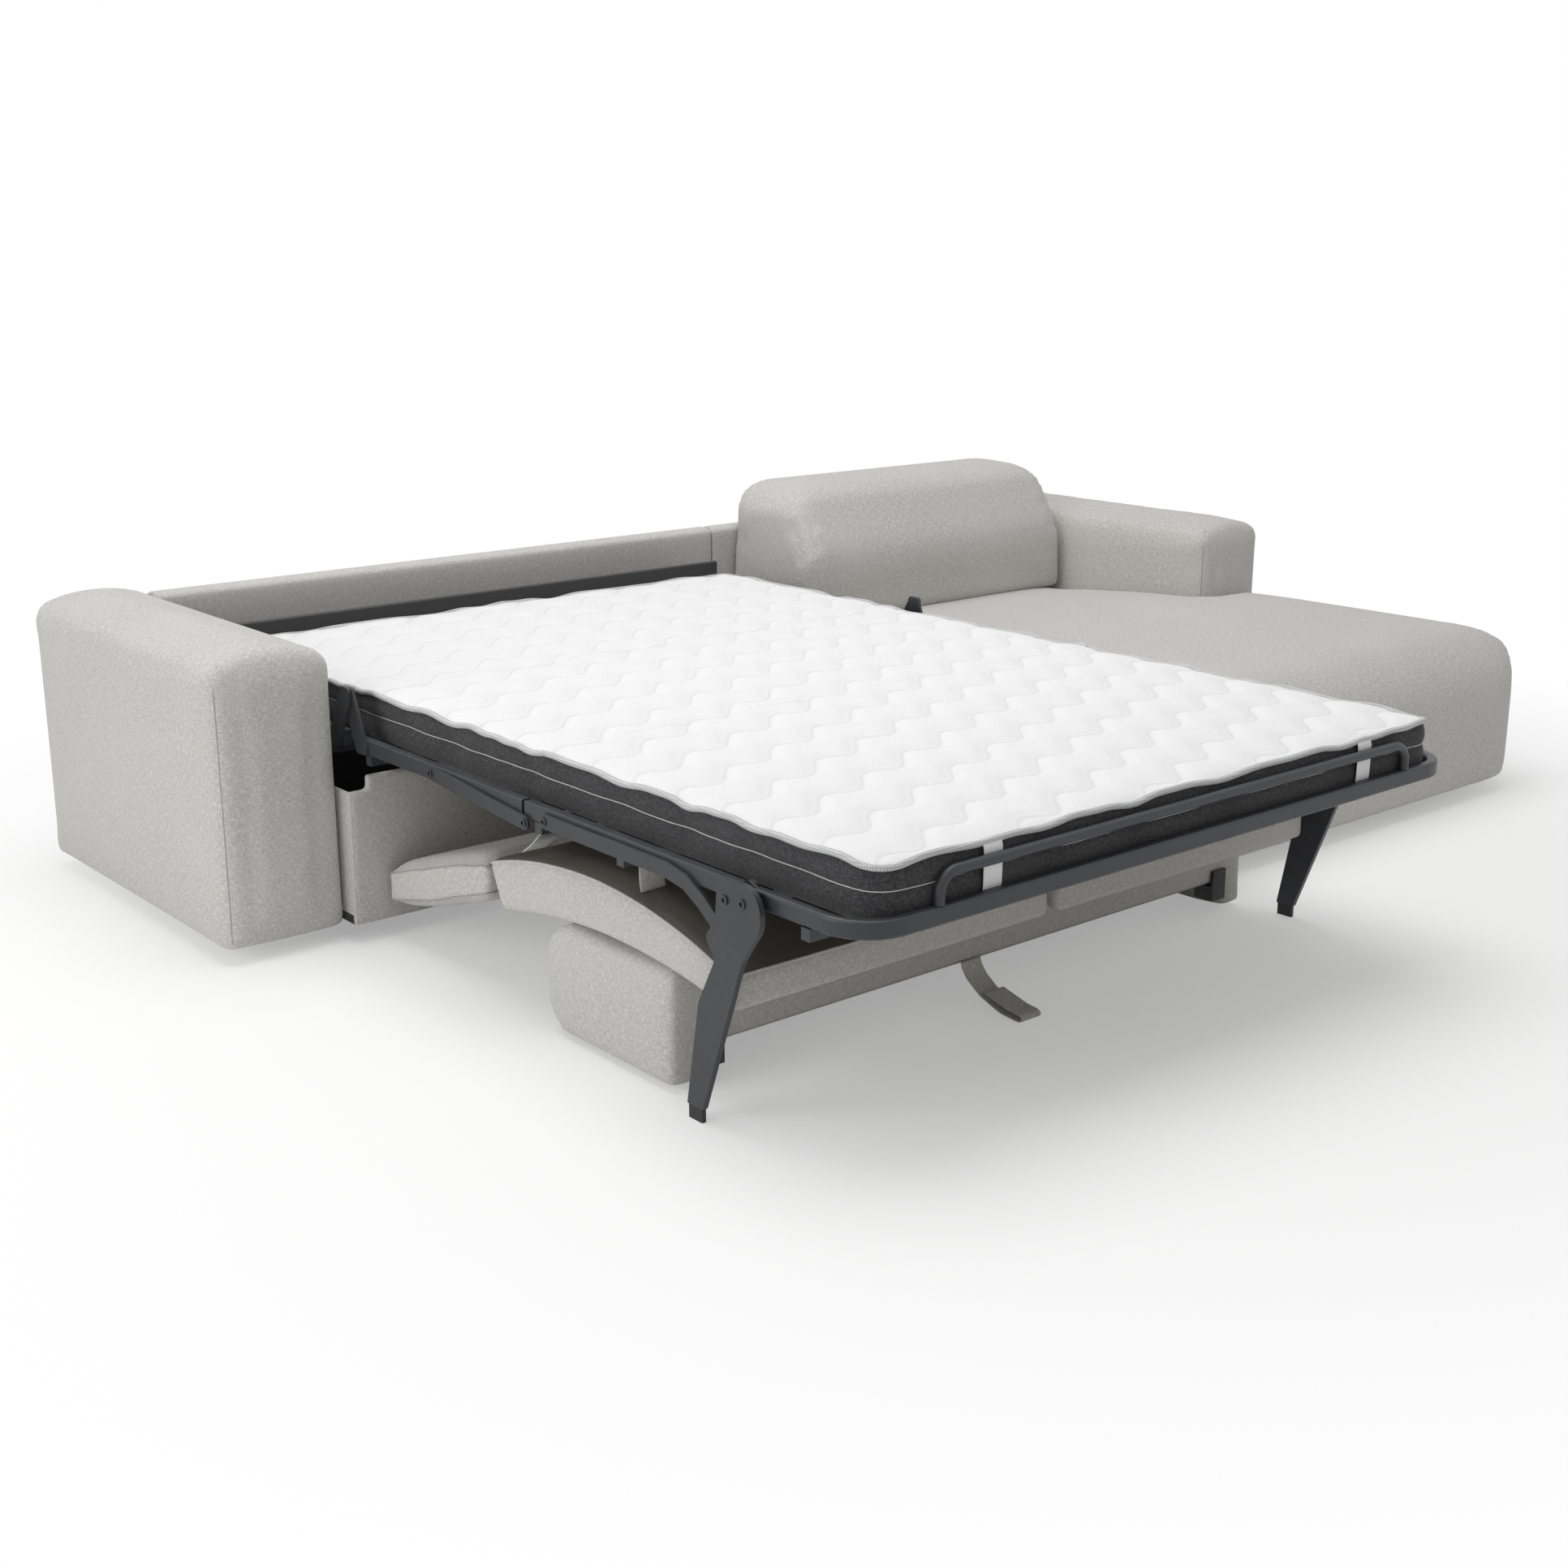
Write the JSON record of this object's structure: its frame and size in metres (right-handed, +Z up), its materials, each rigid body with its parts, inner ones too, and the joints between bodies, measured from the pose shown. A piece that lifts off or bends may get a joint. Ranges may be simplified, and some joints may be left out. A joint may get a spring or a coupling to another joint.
{
  "type": "corner sofa bed",
  "caption": "Corner sofa with a padded chaise on the right and a fold-out bed in the middle, its mattress carried on a jointed steel frame with folding legs and loose cushions below.",
  "frame": {"origin": "on the floor, under the middle of the whole object", "axes": "+X to the right facing the object, +Y to the back of the sofa, +Z up"},
  "size_m": [3.128, 2.344, 0.7143],
  "materials": {
    "upholstery_fabric": "woven light warm grey",
    "mattress_cover": "white quilted top with charcoal border",
    "white_webbing": "plain woven band",
    "slate_steel": "satin dark slate powder coat",
    "black_steel": "satin black",
    "slat_wood": "pale birch plywood",
    "board": "plain board",
    "black_plastic": "moulded black"
  },
  "bodies": {
    "base": {"left_arm": "upholstery_fabric", "right_arm": "upholstery_fabric", "back_panel": "upholstery_fabric", "chaise_back_panel": "upholstery_fabric", "base_apron": "upholstery_fabric", "base_deck": "board", "sofa_feet": "black_plastic", "chaise_seat": "upholstery_fabric", "chaise_back_cushion": "upholstery_fabric", "lift_guides": "slate_steel"},
    "head_section": {"head_rails": "slate_steel", "head_cross_tubes": "slate_steel", "head_slats": "slat_wood", "head_stop_bar": "black_steel", "mattress_head": "mattress_cover", "head_hinge_ears": "slate_steel", "lift_sliders": "slate_steel"},
    "middle_section": {"middle_rails": "slate_steel", "middle_cross_tubes": "slate_steel", "middle_slats": "slat_wood", "mattress_middle": "mattress_cover", "middle_hinge_ears": "slate_steel", "middle_knuckles": "slate_steel", "fold_links": "slate_steel", "seat_webbing": "white_webbing"},
    "seat_pads": {"seat_cushion_left": "upholstery_fabric", "seat_cushion_right": "upholstery_fabric"},
    "front_section": {"front_rails": "slate_steel", "front_cross_tubes": "slate_steel", "front_slats": "slat_wood", "mattress_front": "mattress_cover", "mattress_bend": "mattress_cover", "front_knuckles": "slate_steel", "leg_links": "slate_steel", "leg_pins": "slate_steel", "block_hangers": "black_steel", "backrest_block": "upholstery_fabric", "back_cushion_left": "upholstery_fabric", "back_cushion_right": "upholstery_fabric", "cushion_tabs": "upholstery_fabric", "pull_strap": "upholstery_fabric"},
    "foot_section": {"foot_frame": "slate_steel", "foot_stop_bar": "slate_steel", "foot_cross_tube": "slate_steel", "foot_slats": "slat_wood", "mattress_foot": "mattress_cover", "mattress_straps": "white_webbing"},
    "left_leg": {"leg_left": "slate_steel", "leg_sole_left": "black_plastic"},
    "right_leg": {"leg_right": "slate_steel", "leg_sole_right": "black_plastic"}
  },
  "joints": [
    {"name": "head_drop", "type": "slide", "parent": "base", "child": "head_section", "axis": [0, 0, 1], "range_m": [-0.2301, 0]},
    {"name": "bed_fold", "type": "hinge", "parent": "head_section", "child": "middle_section", "pos_m": [-0.521, 0.302, 0.5], "axis": [1, 0, 0], "range_deg": [-180, 0]},
    {"name": "seat_pad_lift", "type": "slide", "parent": "middle_section", "child": "seat_pads", "axis": [0, 0, 1], "range_m": [0, 0.1251], "deforming": ["seat_webbing"]},
    {"name": "knee_fold", "type": "hinge", "parent": "middle_section", "child": "front_section", "pos_m": [-0.521, -0.302, 0.318], "axis": [1, 0, 0], "range_deg": [0, 90.01], "deforming": ["back_cushion_left", "back_cushion_right"]},
    {"name": "foot_fold", "type": "hinge", "parent": "front_section", "child": "foot_section", "pos_m": [-0.521, -0.912, 0.41], "axis": [1, 0, 0], "range_deg": [-90.01, 0], "deforming": ["mattress_bend"]},
    {"name": "leg_fold_left", "type": "hinge", "parent": "front_section", "child": "left_leg", "pos_m": [-1.29, -0.886, 0.39], "axis": [1, 0, 0], "range_deg": [0, 78.61]},
    {"name": "leg_fold_right", "type": "hinge", "parent": "front_section", "child": "right_leg", "pos_m": [0.248, -0.886, 0.39], "axis": [1, 0, 0], "range_deg": [0, 78.61]}
  ],
  "couplings": [
    {"joint": "head_drop", "follows": "bed_fold", "m_per_rad": 0.073211},
    {"joint": "knee_fold", "follows": "bed_fold", "ratio": -0.5},
    {"joint": "foot_fold", "follows": "bed_fold", "ratio": 0.5},
    {"joint": "leg_fold_left", "follows": "bed_fold", "ratio": -0.43667},
    {"joint": "leg_fold_right", "follows": "bed_fold", "ratio": -0.43667},
    {"joint": "seat_pad_lift", "follows": "bed_fold", "m_per_rad": -0.039789}
  ]
}
